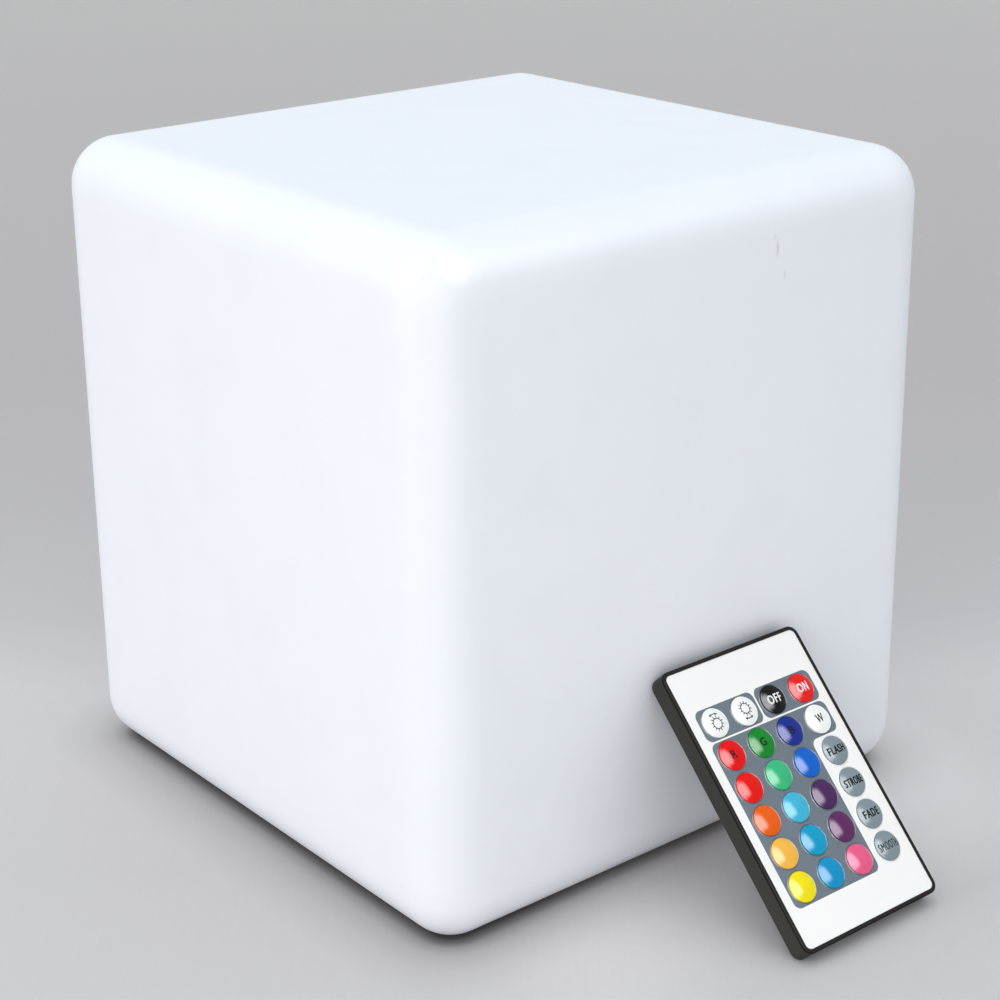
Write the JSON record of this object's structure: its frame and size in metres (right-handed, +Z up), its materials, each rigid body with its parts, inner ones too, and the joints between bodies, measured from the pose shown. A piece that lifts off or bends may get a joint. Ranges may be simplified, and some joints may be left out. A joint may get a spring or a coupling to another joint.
{
  "type": "led cube light",
  "caption": "Rounded white cube lamp with a recessed lamp module in its base and a slim card remote leaning on one side.",
  "frame": {"origin": "middle of the cube's underside, on the ground", "axes": "+Z up; the remote leans on the -Y face; +X to the right when looking along +Y"},
  "size_m": [0.188, 0.252, 0.2],
  "materials": {
    "translucent_shell": "fine moulded satin",
    "base_plastic": "fine satin",
    "button_plastic": "satin",
    "silicone": "matt",
    "screw_steel": "plated",
    "circuit_board": "solder mask",
    "led_package": "gloss",
    "component_black": "matt",
    "clear_plastic": "clear",
    "cell_sleeve": "shrink sleeve",
    "wire_cover": "gloss",
    "remote_black": "fine satin",
    "overlay_film": "printed satin film",
    "spring_steel": "bright",
    "key_white": "clear glossy dome",
    "key_black": "clear glossy dome",
    "key_red": "clear glossy dome",
    "key_green": "clear glossy dome",
    "key_blue": "clear glossy dome",
    "key_scarlet": "clear glossy dome",
    "key_mint": "clear glossy dome",
    "key_royal_blue": "clear glossy dome",
    "key_grey": "clear glossy dome",
    "key_orange": "clear glossy dome",
    "key_sky_blue": "clear glossy dome",
    "key_purple": "clear glossy dome",
    "key_amber": "clear glossy dome",
    "key_cyan": "clear glossy dome",
    "key_plum": "clear glossy dome",
    "key_yellow": "clear glossy dome",
    "key_azure": "clear glossy dome",
    "key_pink": "clear glossy dome"
  },
  "bodies": {
    "root": {"cube_shell": "translucent_shell", "base_cover": "base_plastic", "base_gasket": "silicone", "base_screws": "screw_steel", "module_housing": "base_plastic", "housing_screws": "screw_steel", "led_board": "circuit_board", "led_board_screws": "screw_steel", "colour_leds": "led_package", "white_leds": "led_package", "ir_receiver": "component_black", "diffuser_dome": "clear_plastic", "battery_holder": "component_black", "battery_cell": "cell_sleeve", "battery_leads": "wire_cover", "led_leads": "wire_cover", "control_board": "circuit_board", "board_screws": "screw_steel", "charge_jack": "component_black", "tact_switch": "component_black", "status_led": "led_package", "status_light_pipe": "clear_plastic"},
    "power_button": {"power_button": "button_plastic"},
    "jack_bung": {"jack_bung": "silicone"},
    "remote": {"remote_case_front": "remote_black", "remote_case_back": "remote_black", "remote_overlay": "overlay_film", "remote_board": "circuit_board", "snap_domes": "spring_steel", "remote_chip": "component_black", "ir_emitter": "clear_plastic", "cell_contacts": "spring_steel"},
    "battery_drawer": {"battery_tray": "remote_black", "coin_cell": "spring_steel"},
    "key_brighter": {"key_brighter": "key_white"},
    "key_dimmer": {"key_dimmer": "key_white"},
    "key_off": {"key_off": "key_black"},
    "key_on": {"key_on": "key_red"},
    "key_red": {"key_red": "key_red"},
    "key_green": {"key_green": "key_green"},
    "key_blue": {"key_blue": "key_blue"},
    "key_white": {"key_white": "key_white"},
    "key_scarlet": {"key_scarlet": "key_scarlet"},
    "key_mint": {"key_mint": "key_mint"},
    "key_royal_blue": {"key_royal_blue": "key_royal_blue"},
    "key_mode_flash": {"key_mode_flash": "key_grey"},
    "key_orange": {"key_orange": "key_orange"},
    "key_sky_blue": {"key_sky_blue": "key_sky_blue"},
    "key_purple": {"key_purple": "key_purple"},
    "key_mode_strobe": {"key_mode_strobe": "key_grey"},
    "key_amber": {"key_amber": "key_amber"},
    "key_cyan": {"key_cyan": "key_cyan"},
    "key_plum": {"key_plum": "key_plum"},
    "key_mode_fade": {"key_mode_fade": "key_grey"},
    "key_yellow": {"key_yellow": "key_yellow"},
    "key_azure": {"key_azure": "key_azure"},
    "key_pink": {"key_pink": "key_pink"},
    "key_mode_smooth": {"key_mode_smooth": "key_grey"}
  },
  "joints": [
    {"name": "power_button_press", "type": "slide", "parent": "root", "child": "power_button", "axis": [0, 0, 1], "range_m": [0, 0.0007], "stiffness_N_per_m": 300},
    {"name": "jack_bung_pull", "type": "slide", "parent": "root", "child": "jack_bung", "axis": [0, 0, -1], "range_m": [0, 0.012]},
    {"name": "remote_lift", "type": "slide", "parent": "root", "child": "remote", "axis": [0, -0.7193, 0.6947], "range_m": [0, 0.15]},
    {"name": "battery_drawer_slide", "type": "slide", "parent": "remote", "child": "battery_drawer", "axis": [0, -0.6947, -0.7193], "range_m": [0, 0.026]},
    {"name": "key_brighter_press", "type": "slide", "parent": "remote", "child": "key_brighter", "axis": [0, 0.7193, -0.6947], "range_m": [0, 0.00025], "stiffness_N_per_m": 300},
    {"name": "key_dimmer_press", "type": "slide", "parent": "remote", "child": "key_dimmer", "axis": [0, 0.7193, -0.6947], "range_m": [0, 0.00025], "stiffness_N_per_m": 300},
    {"name": "key_off_press", "type": "slide", "parent": "remote", "child": "key_off", "axis": [0, 0.7193, -0.6947], "range_m": [0, 0.00025], "stiffness_N_per_m": 300},
    {"name": "key_on_press", "type": "slide", "parent": "remote", "child": "key_on", "axis": [0, 0.7193, -0.6947], "range_m": [0, 0.00025], "stiffness_N_per_m": 300},
    {"name": "key_red_press", "type": "slide", "parent": "remote", "child": "key_red", "axis": [0, 0.7193, -0.6947], "range_m": [0, 0.00025], "stiffness_N_per_m": 300},
    {"name": "key_green_press", "type": "slide", "parent": "remote", "child": "key_green", "axis": [0, 0.7193, -0.6947], "range_m": [0, 0.00025], "stiffness_N_per_m": 300},
    {"name": "key_blue_press", "type": "slide", "parent": "remote", "child": "key_blue", "axis": [0, 0.7193, -0.6947], "range_m": [0, 0.00025], "stiffness_N_per_m": 300},
    {"name": "key_white_press", "type": "slide", "parent": "remote", "child": "key_white", "axis": [0, 0.7193, -0.6947], "range_m": [0, 0.00025], "stiffness_N_per_m": 300},
    {"name": "key_scarlet_press", "type": "slide", "parent": "remote", "child": "key_scarlet", "axis": [0, 0.7193, -0.6947], "range_m": [0, 0.00025], "stiffness_N_per_m": 300},
    {"name": "key_mint_press", "type": "slide", "parent": "remote", "child": "key_mint", "axis": [0, 0.7193, -0.6947], "range_m": [0, 0.00025], "stiffness_N_per_m": 300},
    {"name": "key_royal_blue_press", "type": "slide", "parent": "remote", "child": "key_royal_blue", "axis": [0, 0.7193, -0.6947], "range_m": [0, 0.00025], "stiffness_N_per_m": 300},
    {"name": "key_mode_flash_press", "type": "slide", "parent": "remote", "child": "key_mode_flash", "axis": [0, 0.7193, -0.6947], "range_m": [0, 0.00025], "stiffness_N_per_m": 300},
    {"name": "key_orange_press", "type": "slide", "parent": "remote", "child": "key_orange", "axis": [0, 0.7193, -0.6947], "range_m": [0, 0.00025], "stiffness_N_per_m": 300},
    {"name": "key_sky_blue_press", "type": "slide", "parent": "remote", "child": "key_sky_blue", "axis": [0, 0.7193, -0.6947], "range_m": [0, 0.00025], "stiffness_N_per_m": 300},
    {"name": "key_purple_press", "type": "slide", "parent": "remote", "child": "key_purple", "axis": [0, 0.7193, -0.6947], "range_m": [0, 0.00025], "stiffness_N_per_m": 300},
    {"name": "key_mode_strobe_press", "type": "slide", "parent": "remote", "child": "key_mode_strobe", "axis": [0, 0.7193, -0.6947], "range_m": [0, 0.00025], "stiffness_N_per_m": 300},
    {"name": "key_amber_press", "type": "slide", "parent": "remote", "child": "key_amber", "axis": [0, 0.7193, -0.6947], "range_m": [0, 0.00025], "stiffness_N_per_m": 300},
    {"name": "key_cyan_press", "type": "slide", "parent": "remote", "child": "key_cyan", "axis": [0, 0.7193, -0.6947], "range_m": [0, 0.00025], "stiffness_N_per_m": 300},
    {"name": "key_plum_press", "type": "slide", "parent": "remote", "child": "key_plum", "axis": [0, 0.7193, -0.6947], "range_m": [0, 0.00025], "stiffness_N_per_m": 300},
    {"name": "key_mode_fade_press", "type": "slide", "parent": "remote", "child": "key_mode_fade", "axis": [0, 0.7193, -0.6947], "range_m": [0, 0.00025], "stiffness_N_per_m": 300},
    {"name": "key_yellow_press", "type": "slide", "parent": "remote", "child": "key_yellow", "axis": [0, 0.7193, -0.6947], "range_m": [0, 0.00025], "stiffness_N_per_m": 300},
    {"name": "key_azure_press", "type": "slide", "parent": "remote", "child": "key_azure", "axis": [0, 0.7193, -0.6947], "range_m": [0, 0.00025], "stiffness_N_per_m": 300},
    {"name": "key_pink_press", "type": "slide", "parent": "remote", "child": "key_pink", "axis": [0, 0.7193, -0.6947], "range_m": [0, 0.00025], "stiffness_N_per_m": 300},
    {"name": "key_mode_smooth_press", "type": "slide", "parent": "remote", "child": "key_mode_smooth", "axis": [0, 0.7193, -0.6947], "range_m": [0, 0.00025], "stiffness_N_per_m": 300}
  ]
}
